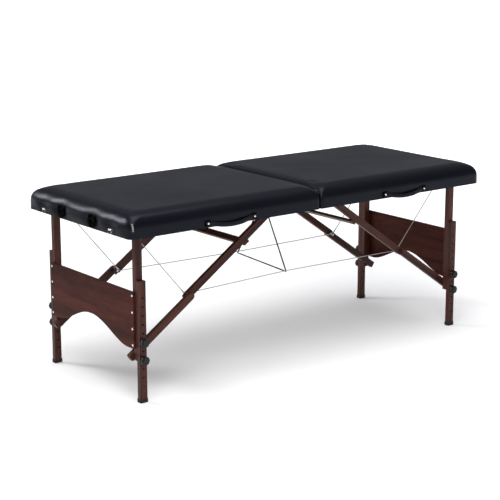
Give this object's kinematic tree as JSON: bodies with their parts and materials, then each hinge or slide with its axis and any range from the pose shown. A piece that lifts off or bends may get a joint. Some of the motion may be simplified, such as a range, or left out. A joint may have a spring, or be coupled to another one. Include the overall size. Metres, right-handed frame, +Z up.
{
  "type": "portable massage table",
  "caption": "Portable folding massage table: padded black vinyl top on dark wooden leg frames with arched end panels, folding struts, tension cables, height knobs and carry straps",
  "frame": {"origin": "floor level, at the centre of the bounding box in plan", "axes": "+X along the table from the head end to the foot end, +Z up, carry straps on the -Y side"},
  "size_m": [1.8604, 0.7656, 0.753],
  "materials": {
    "vinyl": "satin",
    "plywood": "matte",
    "walnut": "satin",
    "walnut_panel": "satin",
    "steel": "satin",
    "chrome": "polished",
    "cable": "satin",
    "knob_plastic": "satin",
    "socket_plastic": "glossy",
    "rubber": "matte",
    "elastic": "matte",
    "strap": "matte"
  },
  "bodies": {
    "half_head": {"cushion_head": "vinyl", "deck_head": "plywood", "rail_frame_head": "walnut", "hinge_angle_head": "steel", "centre_hinge_head": "steel", "handle_head": "strap", "cradle_socket_near": "socket_plastic", "cradle_socket_far": "socket_plastic", "latch_base_near": "chrome", "latch_base_far": "chrome", "steel_cable_near": "cable", "steel_cable_far": "cable", "elastic_cord": "elastic"},
    "half_foot": {"cushion_foot": "vinyl", "deck_foot": "plywood", "rail_frame_foot": "walnut", "hinge_angle_foot": "steel", "centre_hinge_foot": "steel", "handle_foot": "strap"},
    "legs_head": {"hinge_rod_head": "steel", "end_panel_head": "walnut_panel", "upper_leg_head_near": "walnut", "upper_leg_head_far": "walnut"},
    "struts_up_head": {"cross_bar_head": "walnut", "upper_strut_head_near": "walnut", "upper_strut_head_far": "walnut", "knee_eye_head_near": "steel", "knee_eye_head_far": "steel"},
    "struts_low_head": {"lower_strut_head_near": "walnut", "lower_strut_head_far": "walnut"},
    "height_leg_head_near": {"lower_leg_head_near": "walnut", "foot_head_near": "rubber"},
    "knob_body_head_near_upper": {"knob_head_near_upper": "knob_plastic"},
    "knob_body_head_near_lower": {"knob_head_near_lower": "knob_plastic"},
    "height_leg_head_far": {"lower_leg_head_far": "walnut", "foot_head_far": "rubber"},
    "knob_body_head_far_upper": {"knob_head_far_upper": "knob_plastic"},
    "knob_body_head_far_lower": {"knob_head_far_lower": "knob_plastic"},
    "legs_foot": {"hinge_rod_foot": "steel", "end_panel_foot": "walnut_panel", "upper_leg_foot_near": "walnut", "upper_leg_foot_far": "walnut"},
    "struts_up_foot": {"cross_bar_foot": "walnut", "upper_strut_foot_near": "walnut", "upper_strut_foot_far": "walnut", "knee_eye_foot_near": "steel", "knee_eye_foot_far": "steel"},
    "struts_low_foot": {"lower_strut_foot_near": "walnut", "lower_strut_foot_far": "walnut"},
    "height_leg_foot_near": {"lower_leg_foot_near": "walnut", "foot_foot_near": "rubber"},
    "knob_body_foot_near_upper": {"knob_foot_near_upper": "knob_plastic"},
    "knob_body_foot_near_lower": {"knob_foot_near_lower": "knob_plastic"},
    "height_leg_foot_far": {"lower_leg_foot_far": "walnut", "foot_foot_far": "rubber"},
    "knob_body_foot_far_upper": {"knob_foot_far_upper": "knob_plastic"},
    "knob_body_foot_far_lower": {"knob_foot_far_lower": "knob_plastic"},
    "latch_near": {"latch_lever_near": "chrome"},
    "latch_far": {"latch_lever_far": "chrome"}
  },
  "joints": [
    {"name": "centre_fold", "type": "hinge", "parent": "half_head", "child": "half_foot", "pos_m": [0.00325, 0.0078, 0.65], "axis": [0, 1, 0], "range_deg": [0, 180], "deforming": ["steel_cable_near", "steel_cable_far", "elastic_cord"]},
    {"name": "legs_head_fold", "type": "hinge", "parent": "half_head", "child": "legs_head", "pos_m": [-0.88275, 0.0078, 0.665], "axis": [0, 1, 0], "range_deg": [-90, 0]},
    {"name": "legs_foot_fold", "type": "hinge", "parent": "half_foot", "child": "legs_foot", "pos_m": [0.88925, 0.0078, 0.665], "axis": [0, 1, 0], "range_deg": [0, 90]},
    {"name": "struts_up_head_fold", "type": "hinge", "parent": "half_head", "child": "struts_up_head", "pos_m": [-0.10175, 0.0078, 0.703], "axis": [0, 1, 0], "range_deg": [0, 34.7]},
    {"name": "struts_up_foot_fold", "type": "hinge", "parent": "half_foot", "child": "struts_up_foot", "pos_m": [0.10825, 0.0078, 0.703], "axis": [0, 1, 0], "range_deg": [-34.7, 0]},
    {"name": "struts_low_head_fold", "type": "hinge", "parent": "legs_head", "child": "struts_low_head", "pos_m": [-0.84375, 0.0078, 0.19], "axis": [0, 1, 0], "range_deg": [-55.4, 0]},
    {"name": "struts_low_foot_fold", "type": "hinge", "parent": "legs_foot", "child": "struts_low_foot", "pos_m": [0.85025, 0.0078, 0.19], "axis": [0, 1, 0], "range_deg": [0, 55.4]},
    {"name": "height_head_near", "type": "slide", "parent": "legs_head", "child": "height_leg_head_near", "axis": [0, 0, 1], "range_m": [0, 0.0702]},
    {"name": "turn_head_near_upper", "type": "hinge", "parent": "height_leg_head_near", "child": "knob_body_head_near_upper", "pos_m": [-0.84375, -0.3225, 0.2415], "axis": [0, 1, 0], "continuous": true},
    {"name": "turn_head_near_lower", "type": "hinge", "parent": "height_leg_head_near", "child": "knob_body_head_near_lower", "pos_m": [-0.84375, -0.3225, 0.1713], "axis": [0, 1, 0], "continuous": true},
    {"name": "height_head_far", "type": "slide", "parent": "legs_head", "child": "height_leg_head_far", "axis": [0, 0, 1], "range_m": [0, 0.0702]},
    {"name": "turn_head_far_upper", "type": "hinge", "parent": "height_leg_head_far", "child": "knob_body_head_far_upper", "pos_m": [-0.84375, 0.3381, 0.2415], "axis": [0, 1, 0], "continuous": true},
    {"name": "turn_head_far_lower", "type": "hinge", "parent": "height_leg_head_far", "child": "knob_body_head_far_lower", "pos_m": [-0.84375, 0.3381, 0.1713], "axis": [0, 1, 0], "continuous": true},
    {"name": "height_foot_near", "type": "slide", "parent": "legs_foot", "child": "height_leg_foot_near", "axis": [0, 0, 1], "range_m": [0, 0.0702]},
    {"name": "turn_foot_near_upper", "type": "hinge", "parent": "height_leg_foot_near", "child": "knob_body_foot_near_upper", "pos_m": [0.85025, -0.3, 0.2415], "axis": [0, 1, 0], "continuous": true},
    {"name": "turn_foot_near_lower", "type": "hinge", "parent": "height_leg_foot_near", "child": "knob_body_foot_near_lower", "pos_m": [0.85025, -0.3, 0.1713], "axis": [0, 1, 0], "continuous": true},
    {"name": "height_foot_far", "type": "slide", "parent": "legs_foot", "child": "height_leg_foot_far", "axis": [0, 0, 1], "range_m": [0, 0.0702]},
    {"name": "turn_foot_far_upper", "type": "hinge", "parent": "height_leg_foot_far", "child": "knob_body_foot_far_upper", "pos_m": [0.85025, 0.3156, 0.2415], "axis": [0, 1, 0], "continuous": true},
    {"name": "turn_foot_far_lower", "type": "hinge", "parent": "height_leg_foot_far", "child": "knob_body_foot_far_lower", "pos_m": [0.85025, 0.3156, 0.1713], "axis": [0, 1, 0], "continuous": true},
    {"name": "latch_turn_near", "type": "hinge", "parent": "half_head", "child": "latch_near", "pos_m": [-0.92825, -0.2362, 0.6698], "axis": [0, 1, 0], "range_deg": [-100, 0]},
    {"name": "latch_turn_far", "type": "hinge", "parent": "half_head", "child": "latch_far", "pos_m": [-0.92825, 0.2518, 0.6698], "axis": [0, 1, 0], "range_deg": [-100, 0]}
  ],
  "couplings": [
    {"joint": "legs_head_fold", "follows": "centre_fold", "ratio": -0.5},
    {"joint": "legs_foot_fold", "follows": "centre_fold", "ratio": 0.5},
    {"joint": "struts_up_head_fold", "follows": "centre_fold", "ratio": 0.19255},
    {"joint": "struts_up_foot_fold", "follows": "centre_fold", "ratio": -0.19255},
    {"joint": "struts_low_head_fold", "follows": "centre_fold", "ratio": -0.30745},
    {"joint": "struts_low_foot_fold", "follows": "centre_fold", "ratio": 0.30745}
  ]
}
